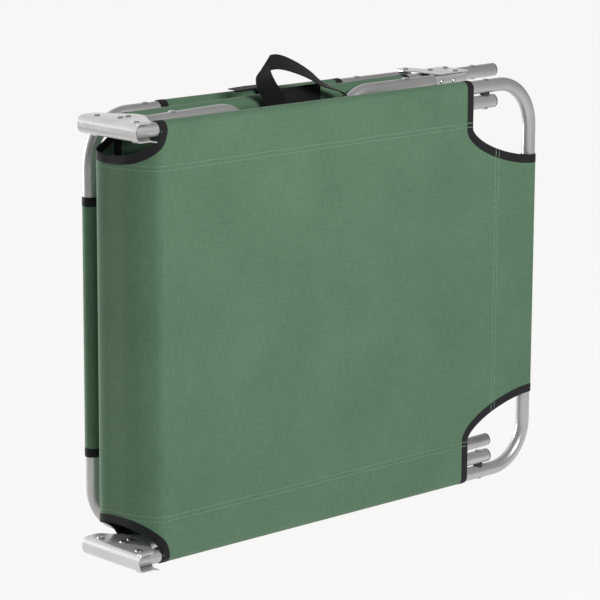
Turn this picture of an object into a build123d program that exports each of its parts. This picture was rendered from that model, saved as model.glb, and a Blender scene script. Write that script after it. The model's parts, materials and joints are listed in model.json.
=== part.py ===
from build123d import *
import math
import os

# Folding cot, stored folded and standing on its long side.
# Three sections fold like a Z: front section, middle section, rear section.
# Design frame: X along the rails from the front hinge, Y from the front section
# towards the rear section, Z across the cot with 0 at its middle line.
# Every hinge axis is parallel to Z. All sizes are in millimetres.

# ---- driving dimensions ----
RAIL_GAP = 530.0          # distance between the centre lines of the two long rails
TUBE_R = 9.0              # outer radius of every tube
WALL = 1.2                # tube wall
BEND_R = 60.0             # centre line radius of the tube corners
FRONT_LENGTH = 690.0      # front hinge pivot to the front section's end tube
HINGE_SPACING = 74.0      # front hinge: front pivot to middle pivot
MIDDLE_SPLAY = 2.8        # degrees between the middle rails and the front rails
MIDDLE_LENGTH = 735.0     # middle pivot to the rail's free end
REAR_PIVOT = (583.0, 131.0)
REAR_END_X = 35.0         # centre line of the rear section's end tube
LEG_REACH = 254.0         # end leg pivot to the outside of its cross bar
LEG_INSET = 88.0          # end tube to the end leg's pivot
LEG_TAIL = 14.5           # tube past the end leg's pivot
SPACER = 2.7              # gap between a rail and its end leg
SHEET = 1.0               # fabric thickness
SLACK = 0.2               # fabric to tube
PIN_R = 3.0
PIN_HOLE_R = 3.05
HEAD_R = 5.2
HEAD_H = 2.2
HEAD_ROOM = 0.3           # seat past a rivet head
PLATE = 1.3               # bracket plate
PLATE_Z = 10.2            # bracket flange's inner face, above the rail's centre line
CAP_T = 1.5               # rim of an end cap
PLUG = 8.0                # its length inside the tube
WEB_T = 1.8               # webbing thickness

# ---- worked-out dimensions ----
HALF = RAIL_GAP / 2
BORE_R = TUBE_R - WALL
SEAT = TUBE_R - 0.7       # flat under a rivet head on a tube
PLATE_TOP = PLATE_Z + PLATE
SLEEVE_IN = TUBE_R + SLACK
SLEEVE_OUT = SLEEVE_IN + SHEET
BAND_OUT = SLEEVE_OUT + 0.7
BAND_W = 12.0
PANEL_Y = SLEEVE_IN + SHEET / 2
LEG_Z = HALF - 2 * TUBE_R - SPACER
END_SLEEVE_Z = 165.0      # half length of the fabric on an end tube
FOLD_Z = 223.0            # half width of the fabric where it crosses a hinge
NOTCH_Z = 212.0           # where a corner notch leaves its straight edge
BOTH = (1, -1)


# ---- helpers ----
MIDDLE_RAILS = Location((0, HINGE_SPACING, 0), (0, 0, MIDDLE_SPLAY))


def along_middle(shape):
    """Place a shape drawn along +X from the middle pivot onto the middle rails."""
    return MIDDLE_RAILS * shape


def seen_from_middle(point):
    """Where a point of the design frame lies in the middle rails' own frame."""
    spot = (MIDDLE_RAILS.inverse() * Pos(*point, 0)).position
    return spot.X, spot.Y


def round_tube(path):
    """A hollow tube along a path."""
    start = Plane(origin=path @ 0, z_dir=path % 0)
    return sweep(start * (Circle(TUBE_R) - Circle(BORE_R)), path=path)


def u_tube(open_x, bar_x, half_gap):
    """A U of tube in the XZ plane: two arms from open_x to a cross bar at bar_x."""
    corners = [(open_x, half_gap), (bar_x, half_gap), (bar_x, -half_gap), (open_x, -half_gap)]
    return round_tube(Plane.XZ * FilletPolyline(*corners, radius=BEND_R))


def straight_tube(x_from, x_to, z):
    """A straight tube along X."""
    return round_tube(Line((x_from, 0, z), (x_to, 0, z)))


def pin_holes(x):
    """A drill along Z that passes through both sides of the cot."""
    return Pos(x, 0, 0) * Cylinder(PIN_HOLE_R, 2 * RAIL_GAP)


def head_seats(x, centre_z):
    """Cutters that leave a small flat on the outside of both tubes for a rivet head."""
    low = centre_z + SEAT
    cutter = Pos(x, 0, low + TUBE_R / 2) * Cylinder(HEAD_R + HEAD_ROOM, TUBE_R)
    return cutter + mirror(cutter, about=Plane.XY)


def inner_seats(x, centre_z):
    """The same flats on the inside of both tubes."""
    high = centre_z - SEAT
    cutter = Pos(x, 0, high - TUBE_R / 2) * Cylinder(HEAD_R + HEAD_ROOM, TUBE_R)
    return cutter + mirror(cutter, about=Plane.XY)


def rivet(x, y, z_low, z_high, pin_r=PIN_R, head_r=HEAD_R, head_h=HEAD_H):
    """A rivet along Z with a domed head at each end."""
    half = head_r * 0.72
    outline = Polyline((0, z_low - head_h), (half, z_low - head_h * 0.72), (head_r, z_low), (pin_r, z_low),
                       (pin_r, z_high), (head_r, z_high), (half, z_high + head_h * 0.72),
                       (0, z_high + head_h), (0, z_low - head_h))
    return Pos(x, y, 0) * revolve(Plane.XZ * make_face(outline), Axis.Z)


def rivet_pair(x, y, z_low, z_high):
    """The same rivet on the upper and the lower side of the cot."""
    return [rivet(x, y, z_low, z_high), rivet(x, y, -z_high, -z_low)]


def end_cap(face_x, direction, z):
    """A plastic plug whose rim closes a tube end at face_x."""
    rim = Pos(face_x + direction * CAP_T / 2, 0, z) * Rot(0, 90, 0) * Cylinder(TUBE_R, CAP_T)
    plug = Pos(face_x - direction * PLUG / 2, 0, z) * Rot(0, 90, 0) * Cylinder(BORE_R - 0.05, PLUG)
    return rim + plug


def sleeve(x_from, x_to, z, inner=SLEEVE_IN, outer=SLEEVE_OUT):
    """A round sleeve of fabric on a rail."""
    length = x_to - x_from
    place = Pos((x_from + x_to) / 2, 0, z) * Rot(0, 90, 0)
    return place * (Cylinder(outer, length) - Cylinder(inner, 2 * length))


def end_sleeve(x, half_length, inner=SLEEVE_IN, outer=SLEEVE_OUT):
    """A round sleeve of fabric on an end tube."""
    return Pos(x, 0, 0) * (Cylinder(outer, 2 * half_length) - Cylinder(inner, 4 * half_length))


def panel(half_outline, side):
    """A flat sheet from its upper outline, mirrored, on one side (+1 or -1 in Y) of the rails."""
    lower = [(x, -z) for x, z in reversed(half_outline)]
    face = make_face(Polyline(*half_outline, *lower, close=True))
    sheet = extrude(Plane.XZ * face, SHEET / 2, both=True)
    return Pos(0, side * PANEL_Y, 0) * sheet


# ---- front section ----
FRONT_LEG_X = FRONT_LENGTH - LEG_INSET
FRONT_SLEEVE = (30.0, 570.0)
FRONT_NOTCH = [(570, HALF), (570, NOTCH_Z), (602, 180), (630, 168.5), (FRONT_LENGTH, END_SLEEVE_Z)]


def front_frame():
    frame = u_tube(-6, FRONT_LENGTH, HALF)
    frame -= pin_holes(0) + pin_holes(FRONT_LEG_X) + head_seats(FRONT_LEG_X, HALF)
    return frame


def front_fabric():
    half = [(33, FOLD_Z), (33, HALF)] + FRONT_NOTCH
    body = panel(half, -1)
    for side in BOTH:
        body += sleeve(*FRONT_SLEEVE, side * HALF)
    return body + end_sleeve(FRONT_LENGTH, END_SLEEVE_Z)


def sleeve_bands(x_from, x_to, side_of_panel):
    """Edge tape round both ends of both rail sleeves, open where the panel leaves them."""
    bands = []
    for side in BOTH:
        panel_room = Pos(0, side_of_panel * PANEL_Y, side * (HALF - BAND_OUT)) * Box(
            4 * FRONT_LENGTH, SHEET + 2 * SLACK, 2 * BAND_OUT)
        for start in (x_from, x_to - BAND_W):
            ring = sleeve(start, start + BAND_W, side * HALF, SLEEVE_OUT, BAND_OUT)
            bands.append(ring - panel_room)
    return bands


def end_bands(x, inward):
    """Edge tape round both ends of an end tube's sleeve, open where the panel leaves it."""
    panel_room = Pos(x + inward * BAND_OUT, -PANEL_Y, 0) * Box(
        2 * BAND_OUT, SHEET + 2 * SLACK, RAIL_GAP)
    ring = end_sleeve(x, BAND_W / 2, SLEEVE_OUT, BAND_OUT)
    middle = END_SLEEVE_Z - BAND_W / 2
    return [Pos(0, 0, side * middle) * ring - panel_room for side in BOTH]


def end_leg():
    """A U leg drawn from its pivot at X 0, lying towards -X, with pin holes."""
    leg = u_tube(LEG_TAIL, -LEG_REACH + TUBE_R, LEG_Z)
    return leg - pin_holes(0) - inner_seats(0, LEG_Z)


def end_leg_caps():
    return [end_cap(LEG_TAIL, 1, side * LEG_Z) for side in BOTH]


def leg_spacers(x):
    """Plastic blocks between rail and leg, hollowed to sit on the rail."""
    low = LEG_Z + TUBE_R + 0.3
    high = HALF - TUBE_R + 1.5
    block = Pos(x, 0, (low + high) / 2) * (Cylinder(6.5, high - low) - Cylinder(PIN_HOLE_R, 20))
    rail = Pos(x, 0, HALF) * Rot(0, 90, 0) * Cylinder(TUBE_R, 40)
    block -= rail
    return [block, mirror(block, about=Plane.XY)]


def leg_pivots(x):
    """Rivets that join a rail, its spacer and its end leg."""
    return rivet_pair(x, 0, LEG_Z - SEAT, HALF + SEAT)


# ---- front hinge ----
WEB_X = -14.0
BRACKET_Y = (-16.0, 93.0)
LEG_FOOT_X = 252.8        # outside of the front middle leg's cross bar
FRONT_MID_LEG = Location((2, 41, 0), (0, 0, 5.5))
FRONT_MID_RIVETS = (8.0, 21.0)
LEG_RIVET_X = 98.0        # plug rivet, from the leg's inner end


CHANNEL_LENGTH = 120.0  # the channel's section before its open side is cut away
CHANNEL_ROUND = 9.5     # outer radius of the channel's two bends


def front_bracket():
    """The upper hinge bracket: a channel round both rails with a wide middle for the leg."""
    depth = BRACKET_Y[1] - BRACKET_Y[0]
    outer = RectangleRounded(CHANNEL_LENGTH, 2 * PLATE_TOP, CHANNEL_ROUND)
    inner = RectangleRounded(CHANNEL_LENGTH - 2 * PLATE, 2 * PLATE_Z, CHANNEL_ROUND - PLATE)
    channel = extrude(Plane.XZ * (outer - inner), depth)
    channel = Pos(WEB_X + CHANNEL_LENGTH / 2, BRACKET_Y[1], 0) * channel
    outline = Polyline((WEB_X - 1, BRACKET_Y[0]), (11, BRACKET_Y[0]), (44, 36), (44, 52),
                       (12, BRACKET_Y[1]), (WEB_X - 1, BRACKET_Y[1]), close=True)
    flange = fillet(make_face(outline).vertices().filter_by_position(Axis.X, 5, 50), 7)
    bracket = channel & extrude(flange, 30, both=True)
    for y in (-13.0, -8.5):
        bracket += bead(outer, y)
    lip = Pos(14, -9, -PLATE_TOP - 0.4) * Rot(0, 11, 0) * Box(12, 14, PLATE)
    bracket += lip
    for x, y in front_bracket_holes():
        bracket -= Pos(x, y, 0) * Cylinder(PIN_HOLE_R, 60)
    return bracket


def bead(outer, y):
    """A raised rib across the web and the flanges near the bracket's open end."""
    rib = extrude(Plane.XZ * (offset(outer, 0.7) - outer), 2)
    rib = Pos(WEB_X + CHANNEL_LENGTH / 2, y + 1, 0) * rib
    return rib & (Pos(0, y, 0) * Box(2 * 11, 10, 60))


def front_bracket_holes():
    """Pivot and leg rivet places on a front hinge bracket."""
    places = [(0.0, 0.0), (0.0, HINGE_SPACING)]
    for distance in FRONT_MID_RIVETS:
        spot = (FRONT_MID_LEG * Pos(distance, 0, 0)).position
        places.append((spot.X, spot.Y))
    return places


def front_middle_leg():
    """The U leg that is riveted between the two front hinge brackets."""
    reach = LEG_FOOT_X - 2 - TUBE_R
    leg = u_tube(0, reach, HALF)
    for distance in FRONT_MID_RIVETS + (LEG_RIVET_X,):
        leg -= pin_holes(distance)
    leg -= head_seats(LEG_RIVET_X, HALF) + inner_seats(LEG_RIVET_X, HALF)
    return FRONT_MID_LEG * leg


def front_leg_plug_rivets():
    return [FRONT_MID_LEG * r for r in rivet_pair(LEG_RIVET_X, 0, HALF - SEAT, HALF + SEAT)]


def hinge_fabric():
    """The part of the fabric that bridges the front hinge."""
    start, end = Vector(31, -7), Vector(5, 64)
    run = end - start
    sheet = Box(run.length, SHEET, 2 * FOLD_Z)
    middle = (start + end) * 0.5
    return Location((middle.X, middle.Y, 0), (0, 0, math.degrees(math.atan2(run.Y, run.X)))) * sheet


# ---- middle section, drawn along its own rails from the middle pivot ----
MIDDLE_SLEEVE = (38.0, 554.0)
END_RIVET_X = 690.0
MIDDLE_LEG_PIVOT = (622.0, 75.6)
CLAMP_RIVETS = (603.0, 634.0)


def middle_rail(side):
    """One straight rail; its front end sits in a front hinge bracket."""
    rail = straight_tube(-6, MIDDLE_LENGTH - CAP_T, side * HALF)
    for x in (0.0, END_RIVET_X) + CLAMP_RIVETS:
        rail -= pin_holes(x)
    rail -= head_seats(END_RIVET_X, HALF) + inner_seats(END_RIVET_X, HALF)
    return along_middle(rail)


def middle_caps():
    return [along_middle(end_cap(MIDDLE_LENGTH - CAP_T, 1, side * HALF)) for side in BOTH]


def middle_end_rivets():
    return [along_middle(r) for r in rivet_pair(END_RIVET_X, 0, HALF - SEAT, HALF + SEAT)]


def rear_bracket():
    """The upper rear hinge bracket: two plates joined by a web behind the rail."""
    outline = Polyline((578, -39), (641, -39), (641, 10.6), (604, 10.6), (598, 40), (573, 40),
                       (569, 18), (578, 6), close=True)
    face = make_face(outline)
    face = fillet(face.vertices().filter_by_position(Axis.Y, 30, 45), 8)
    face = fillet(face.vertices().filter_by_position(Axis.Y, -45, -30), 4)
    plates = Pos(0, 0, PLATE_Z) * extrude(face, PLATE) + Pos(0, 0, -PLATE_TOP) * extrude(face, PLATE)
    web = Pos((606 + 641) / 2, TUBE_R + 0.1 + 0.75, 0) * Box(641 - 606, 1.5, 2 * PLATE_Z)
    bracket = plates + web
    pivots = [seen_from_middle(REAR_PIVOT), seen_from_middle(MIDDLE_LEG_PIVOT)]
    holes = pivots + [(x, 0) for x in CLAMP_RIVETS]
    for x, y in holes:
        bracket -= Pos(x, y, 0) * Cylinder(PIN_HOLE_R, 60)
    return bracket


def flange_rivets(x, y):
    """Rivets through both flanges of the upper and the lower bracket."""
    return rivet_pair(x, y, HALF - PLATE_TOP, HALF + PLATE_TOP)


def middle_fabric():
    half = [(2, FOLD_Z), (MIDDLE_SLEEVE[0], HALF), (MIDDLE_SLEEVE[1], HALF), (566, FOLD_Z), (576, FOLD_Z)]
    body = panel(half, 1)
    for side in BOTH:
        body += sleeve(*MIDDLE_SLEEVE, side * HALF)
    return along_middle(body)


# ---- rear middle leg, drawn from its pivot at X 0, lying towards -X ----
MIDDLE_LEG_REACH = 232.0
SOCKET = (-44.0, 14.0)
SOCKET_WALL = 1.0
SOCKET_FIT = 0.1
SOCKET_RIVETS = (-34.0, -11.0)
MIDDLE_LEG_RIVET_X = -93.0


def rear_middle_leg():
    leg = u_tube(SOCKET[1] - 1, -MIDDLE_LEG_REACH + TUBE_R, HALF)
    leg -= pin_holes(0) + pin_holes(MIDDLE_LEG_RIVET_X)
    leg -= head_seats(MIDDLE_LEG_RIVET_X, HALF) + inner_seats(MIDDLE_LEG_RIVET_X, HALF)
    return leg


def leg_socket(side):
    """A pressed socket round the leg's end that takes the pivot."""
    middle = sum(SOCKET) / 2
    length = SOCKET[1] - SOCKET[0]
    shell = Cylinder(TUBE_R + SOCKET_WALL, length) - Cylinder(TUBE_R + SOCKET_FIT, 2 * length)
    socket = Pos(middle, 0, side * HALF) * Rot(0, 90, 0) * shell
    return socket - pin_holes(0)


def socket_rivets():
    """Domed rivet heads on the front of each socket."""
    surface = TUBE_R + SOCKET_WALL
    dome = Sphere(4.5) & Pos(0, 0, 8) * Box(20, 20, 10)
    cutter = Rot(0, 90, 0) * Cylinder(surface, 200)
    heads = []
    for side in BOTH:
        for x in SOCKET_RIVETS:
            head = Pos(x, -surface + 2.6, 0) * Rot(90, 0, 0) * dome - cutter
            heads.append(Pos(0, 0, side * HALF) * head)
    return heads


# ---- rear section ----
REAR_LEG_X = REAR_END_X + LEG_INSET
REAR_SLEEVE = (144.0, 458.0)
REAR_RIVET_X = 491.0
REAR_NOTCH = [(REAR_END_X, END_SLEEVE_Z), (89, 168.5), (114, 180), (144, NOTCH_Z), (144, HALF)]


def rear_frame():
    frame = u_tube(REAR_PIVOT[0] + 6, REAR_END_X, HALF)
    frame -= pin_holes(REAR_PIVOT[0]) + pin_holes(REAR_LEG_X) + pin_holes(REAR_RIVET_X)
    frame -= head_seats(REAR_LEG_X, HALF) + head_seats(REAR_RIVET_X, HALF) + inner_seats(REAR_RIVET_X, HALF)
    return frame


def rear_fabric():
    half = REAR_NOTCH + [(REAR_SLEEVE[1], HALF), (470, FOLD_Z), (576, FOLD_Z)]
    body = panel(half, -1)
    for side in BOTH:
        body += sleeve(*REAR_SLEEVE, side * HALF)
    return body + end_sleeve(REAR_END_X, END_SLEEVE_Z)


# ---- webbing ----
HANDLE_Y = (52.0, 72.0)
STRAP_BACK = 54.0         # the strap's far edge, from the middle rail's centre line


def carry_handle():
    """A webbing loop whose two ends are sewn to the middle section's upper sleeve."""
    points = [(270, 252), (250, 285), (262, 322), (318, 312), (398, 268)]
    line = Spline(*points)
    face = trace(line, WEB_T)
    width = HANDLE_Y[1] - HANDLE_Y[0]
    band = Pos(0, HANDLE_Y[1], 0) * extrude(Plane.XZ * face, width)
    tabs = Pos(270, 76, 256) * Box(26, 12, 8) + Pos(398, 78, 268) * Box(26, 16, 3)
    cutter = along_middle(sleeve(0, 600, HALF, 0.01, SLEEVE_OUT + 0.05))
    return band + tabs - cutter


def closing_strap():
    """A webbing band sewn to the middle sleeve's front that lies over both sleeves."""
    clear = BAND_OUT + 0.4
    front = -clear - WEB_T
    patch = Pos(337, front + WEB_T / 2, HALF) * Box(82, WEB_T, 26)
    top = Pos(312, (front + STRAP_BACK) / 2, HALF + clear + WEB_T / 2) * Box(30, STRAP_BACK - front, WEB_T)
    bend = Pos(312, front + WEB_T / 2, HALF + clear / 2 + WEB_T / 2) * Box(30, WEB_T, clear + WEB_T)
    return along_middle(patch + bend + top)


# ---- assembly ----
def moved(shapes, x=0.0, y=0.0):
    return [Pos(x, y, 0) * shape for shape in shapes]


def upper_and_lower(shape):
    return Pos(0, 0, HALF) * shape, mirror(Pos(0, 0, HALF) * shape, about=Plane.XY)


def front_nodes():
    nodes = {}
    nodes["front_frame"] = front_frame()
    nodes["front_fabric"] = front_fabric()
    nodes["front_binding"] = sleeve_bands(*FRONT_SLEEVE, -1) + end_bands(FRONT_LENGTH, -1)
    nodes["front_leg_pivots"] = leg_pivots(FRONT_LEG_X)
    nodes["front_leg_spacers"] = leg_spacers(FRONT_LEG_X)
    nodes["front_end_leg"] = Pos(FRONT_LEG_X, 0, 0) * end_leg()
    nodes["front_leg_caps"] = moved(end_leg_caps(), FRONT_LEG_X)
    return nodes


def front_hinge_nodes():
    nodes = {}
    nodes["front_hinge_bracket_top"] = Pos(0, 0, HALF) * front_bracket()
    nodes["front_hinge_bracket_bottom"] = Pos(0, 0, -HALF) * front_bracket()
    nodes["front_hinge_pivots"] = flange_rivets(0, 0) + flange_rivets(0, HINGE_SPACING)
    leg_spots = front_bracket_holes()[2:]
    nodes["front_middle_leg_rivets"] = flange_rivets(*leg_spots[0]) + flange_rivets(*leg_spots[1])
    nodes["front_middle_leg"] = front_middle_leg()
    nodes["front_leg_plug_rivets"] = front_leg_plug_rivets()
    nodes["hinge_fabric"] = hinge_fabric()
    return nodes


def middle_nodes():
    nodes = {}
    nodes["middle_rail_top"] = middle_rail(1)
    nodes["middle_rail_bottom"] = middle_rail(-1)
    nodes["middle_end_caps"] = middle_caps()
    nodes["middle_end_rivets"] = middle_end_rivets()
    upper, lower = upper_and_lower(rear_bracket())
    nodes["rear_hinge_bracket_top"] = along_middle(upper)
    nodes["rear_hinge_bracket_bottom"] = along_middle(lower)
    clamps = flange_rivets(CLAMP_RIVETS[0], 0) + flange_rivets(CLAMP_RIVETS[1], 0)
    nodes["rear_bracket_rivets"] = [along_middle(r) for r in clamps]
    nodes["rear_hinge_pivots"] = flange_rivets(*REAR_PIVOT)
    nodes["middle_leg_pivots"] = flange_rivets(*MIDDLE_LEG_PIVOT)
    nodes["middle_fabric"] = middle_fabric()
    nodes["middle_binding"] = [along_middle(b) for b in sleeve_bands(*MIDDLE_SLEEVE, 1)]
    nodes["carry_handle"] = carry_handle()
    nodes["closing_strap"] = closing_strap()
    nodes["rear_middle_leg"] = Pos(*MIDDLE_LEG_PIVOT, 0) * rear_middle_leg()
    nodes["middle_leg_sockets"] = moved([leg_socket(s) for s in BOTH], *MIDDLE_LEG_PIVOT)
    nodes["socket_rivets"] = moved(socket_rivets(), *MIDDLE_LEG_PIVOT)
    plugs = rivet_pair(MIDDLE_LEG_RIVET_X, 0, HALF - SEAT, HALF + SEAT)
    nodes["rear_leg_plug_rivets"] = moved(plugs, *MIDDLE_LEG_PIVOT)
    return nodes


def rear_nodes():
    y = REAR_PIVOT[1]
    nodes = {}
    nodes["rear_frame"] = Pos(0, y, 0) * rear_frame()
    nodes["rear_fabric"] = Pos(0, y, 0) * rear_fabric()
    nodes["rear_binding"] = moved(sleeve_bands(*REAR_SLEEVE, -1) + end_bands(REAR_END_X, 1), 0, y)
    nodes["rear_rail_rivets"] = moved(rivet_pair(REAR_RIVET_X, 0, HALF - SEAT, HALF + SEAT), 0, y)
    nodes["rear_leg_pivots"] = moved(leg_pivots(REAR_LEG_X), 0, y)
    nodes["rear_leg_spacers"] = moved(leg_spacers(REAR_LEG_X), 0, y)
    turned = Location((REAR_LEG_X, y, 0), (0, 0, 180))
    nodes["rear_end_leg"] = turned * end_leg()
    nodes["rear_leg_caps"] = [turned * cap for cap in end_leg_caps()]
    return nodes


def as_shape(item):
    """One solid stays as it is; a list of alike solids becomes one group."""
    if isinstance(item, list):
        return Compound(children=item)
    return item


nodes = {}
for group in (front_nodes(), front_hinge_nodes(), middle_nodes(), rear_nodes()):
    nodes.update(group)
nodes = {name: as_shape(item) for name, item in nodes.items()}

boxes = [shape.bounding_box() for shape in nodes.values()]
low_x, high_x = min(b.min.X for b in boxes), max(b.max.X for b in boxes)
low_y, high_y = min(b.min.Y for b in boxes), max(b.max.Y for b in boxes)
low_z = min(b.min.Z for b in boxes)
to_base = Pos(-(low_x + high_x) / 2, -(low_y + high_y) / 2, -low_z)

os.makedirs("parts", exist_ok=True)
for name, shape in nodes.items():
    export_step(to_base * shape, f"parts/{name}.step")

PIVOTS = {
    "front_section": (0, 0),
    "front_hinge": (0, HINGE_SPACING),
    "front_leg": (FRONT_LEG_X, 0),
    "middle_leg": MIDDLE_LEG_PIVOT,
    "rear_section": REAR_PIVOT,
    "rear_leg": (REAR_LEG_X, REAR_PIVOT[1]),
}
for name, (x, y) in PIVOTS.items():
    spot = (to_base * Pos(x, y, 0)).position
    print(f"pivot {name}: {spot.X:.4f} {spot.Y:.4f} {spot.Z:.4f}")
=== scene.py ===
import json
import math

import bpy
import numpy as np
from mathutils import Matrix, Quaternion, Vector, noise


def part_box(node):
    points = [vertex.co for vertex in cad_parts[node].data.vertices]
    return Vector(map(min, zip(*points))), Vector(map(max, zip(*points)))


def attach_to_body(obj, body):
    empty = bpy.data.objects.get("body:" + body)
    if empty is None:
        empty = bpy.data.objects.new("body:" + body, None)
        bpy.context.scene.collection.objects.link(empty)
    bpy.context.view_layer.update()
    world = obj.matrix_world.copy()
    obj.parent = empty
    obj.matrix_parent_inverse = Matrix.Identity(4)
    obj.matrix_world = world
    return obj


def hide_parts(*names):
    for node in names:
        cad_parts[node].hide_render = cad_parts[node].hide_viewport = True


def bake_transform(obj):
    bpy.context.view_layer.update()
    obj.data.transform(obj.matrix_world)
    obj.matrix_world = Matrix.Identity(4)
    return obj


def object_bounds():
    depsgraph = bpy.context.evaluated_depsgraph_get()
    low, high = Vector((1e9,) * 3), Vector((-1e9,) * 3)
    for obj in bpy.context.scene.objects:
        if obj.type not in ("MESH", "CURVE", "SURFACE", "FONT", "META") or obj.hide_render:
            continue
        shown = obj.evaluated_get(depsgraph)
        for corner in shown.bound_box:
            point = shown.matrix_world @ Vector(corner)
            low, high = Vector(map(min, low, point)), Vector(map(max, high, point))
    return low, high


# Folding cot, folded and standing on its long side. Units are metres.
# Local frame of the design: X along the rails from the front hinge pivot,
# Y from the front section towards the rear section, Z across the cot from its middle line.

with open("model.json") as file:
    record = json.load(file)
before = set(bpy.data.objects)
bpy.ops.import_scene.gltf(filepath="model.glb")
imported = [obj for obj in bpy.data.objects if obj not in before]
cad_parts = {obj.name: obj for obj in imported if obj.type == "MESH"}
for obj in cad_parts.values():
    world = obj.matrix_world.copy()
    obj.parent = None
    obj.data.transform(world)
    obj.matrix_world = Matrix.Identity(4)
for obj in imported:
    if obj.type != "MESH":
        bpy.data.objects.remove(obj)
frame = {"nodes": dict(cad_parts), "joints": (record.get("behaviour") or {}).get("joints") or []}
cad_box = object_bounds()
MM = 0.001

# ---- places read from the frame ----
JOINTS = {joint["name"]: joint["pos_m"] for joint in frame["joints"]}
FRAME_LOW, FRAME_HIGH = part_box("front_frame")
ORIGIN = Vector((JOINTS["front_section_fold"][0], JOINTS["front_section_fold"][1],
                 (FRAME_LOW.z + FRAME_HIGH.z) / 2))
TUBE_R = (FRAME_HIGH.y - FRAME_LOW.y) / 2
RAIL_Z = (FRAME_HIGH.z - FRAME_LOW.z) / 2 - TUBE_R
FRONT_END = FRAME_HIGH.x - TUBE_R - ORIGIN.x
MIDDLE_Y = JOINTS["front_hinge_fold"][1] - ORIGIN.y
REAR_PIVOT = Vector((JOINTS["rear_section_fold"][0] - ORIGIN.x, JOINTS["rear_section_fold"][1] - ORIGIN.y))
REAR_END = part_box("rear_frame")[0].x + TUBE_R - ORIGIN.x
FLOOR_Z = cad_box[0].z

# ---- cloth dimensions ----
SPLAY = math.radians(2.8)          # the middle rails stand this far off the front rails
CLOTH = 0.5 * MM                   # cloth thickness
LAYER = TUBE_R + 0.95 * MM         # rail centre line to the cloth's outer layer
FLAP_LAYER = TUBE_R + 0.45 * MM    # rail centre line to the sleeve's sewn-back layer
FLAP_TURN = 4.0 * MM               # bend radius where the sleeve turns onto the panel
SEAM_Z = 212 * MM                  # inner edge of the sleeve's sewn-back layer
STITCH_Z = (215 * MM, 220.5 * MM)  # the two rows of stitches along a sleeve
END_SLEEVE_Z = 165 * MM            # half length of the cloth on an end tube
NOTCH_Z = 212 * MM                 # where a corner notch leaves its straight edge
NOTCH_HIGH = NOTCH_Z - END_SLEEVE_Z
NOTCH_POWER = 1.55                 # 2 would make the corner notches true ellipses
NOTCH_DEPTH = 35 * MM              # depth of the notches over the hinges
END_SEAM_X = FRONT_END - 79 * MM   # inner edge of the end tube's sleeve
END_STITCHES = (4 * MM, 10 * MM)   # from that edge to its two rows of stitches
FRONT_SLEEVE = (30 * MM, 570 * MM)
MIDDLE_SLEEVE = (38 * MM, 554 * MM)
REAR_SLEEVE = (144 * MM, 458 * MM)
FLAT_START = 33 * MM               # the front panel is flat from here on
STRIP_END = 14 * MM                # a bending strip's path runs on this far past its cloth

# ---- trim dimensions ----
TAPE_W = 11.0 * MM                 # visible width of the edge tape
TAPE_T = 0.55 * MM                 # height of the tape above the cloth
TAPE_LAP = 1 * MM                  # the tape of a sleeve's end stops this far past the rail's middle
STITCH_LENGTH = 2.7 * MM
STITCH_PITCH = 4.3 * MM
STITCH_HALF_W = 0.32 * MM
NUDGE = 0.01 * MM                  # more than rounding, and too little to see

# ---- folds and unevenness of the cloth ----
GATHER_A = 548 * MM                # the pulled corner beside the front sleeve's far end
GATHER_S = 226 * MM
GATHER_REACH = 22 * MM
GATHER_FOLDS = 9                   # folds in a full turn about the corner
GATHER_HIGH = 0.6 * MM
CREASE_A = 41 * MM                 # one crease near the lower hinge
CREASE_S = -218 * MM
CREASE_HIGH = 1.5 * MM
CREASE_REACH = (2.6 * MM, 12 * MM)
BROAD_RELIEF = 1.1 * MM
FINE_RELIEF = 0.16 * MM

# ---- mesh spacing ----
STEP = 7 * MM                      # across a panel
BEND_STEP = 1.9 * MM               # round a tube
TAPE_STEP = 2.5 * MM               # along the tape
NOTCH_ROWS = 12                    # rows across a corner notch
BRIDGE_COLUMNS = 26
BRIDGE_ROWS = 66
NOTCH_STEPS = 60                   # along the tape of a notch over a hinge
ARC_STEPS = 24                     # along the tape of a corner notch
PATH_STEPS = 10                    # between two corners of a bending strip's path
SLOPE_STEP = 0.4 * MM              # half the run over which that path's direction is taken
FACING_STEP = 0.05 * MM            # the run over which a cover's direction is taken


# ---------------------------------------------------------------- materials
YARN = 1.1 * MM                    # pitch of the cloth's threads
GLOSS_CHANGE = 0.07                # how far clouding moves a metal's roughness, up and down
GREEN_DARK = (0.062, 0.128, 0.071)
GREEN = (0.088, 0.169, 0.100)
GREEN_LIGHT = (0.122, 0.214, 0.134)
THREAD_DARK = (0.14, 0.25, 0.15)
THREAD = (0.30, 0.43, 0.31)


def grey(level):
    return (level, level, level)


def new_material(name):
    """An empty principled material: its nodes, links and shader."""
    material = bpy.data.materials.new(name)
    material.use_nodes = True
    tree = material.node_tree
    return material, tree.nodes, tree.links, tree.nodes["Principled BSDF"]


def set_inputs(node, **inputs):
    """Sets a node's inputs by name, with _ for a space."""
    for name, value in inputs.items():
        node.inputs[name.replace("_", " ")].default_value = value


def add_node(nodes, kind, **inputs):
    node = nodes.new(kind)
    set_inputs(node, **inputs)
    return node


def flat_coordinates(nodes):
    """Each point's place on its own cut cloth, in metres."""
    uv = nodes.new("ShaderNodeUVMap")
    uv.uv_map = "flat"
    return uv.outputs["UV"]


def object_coordinates(nodes):
    return nodes.new("ShaderNodeTexCoord").outputs["Object"]


def noise_value(nodes, links, coordinates, **inputs):
    """Noise between 0 and 1 at the coordinates."""
    node = add_node(nodes, "ShaderNodeTexNoise", **inputs)
    links.new(coordinates, node.inputs["Vector"])
    return node.outputs["Fac"]


def ramp(nodes, links, source, stops):
    """A colour ramp fed by source; stops are (position, colour)."""
    node = nodes.new("ShaderNodeValToRGB")
    elements = node.color_ramp.elements
    while len(elements) < len(stops):
        elements.new(0.5)
    for element, (position, colour) in zip(elements, stops):
        element.position = position
        element.color = (*colour, 1)
    links.new(source, node.inputs["Fac"])
    return node.outputs["Color"]


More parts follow.
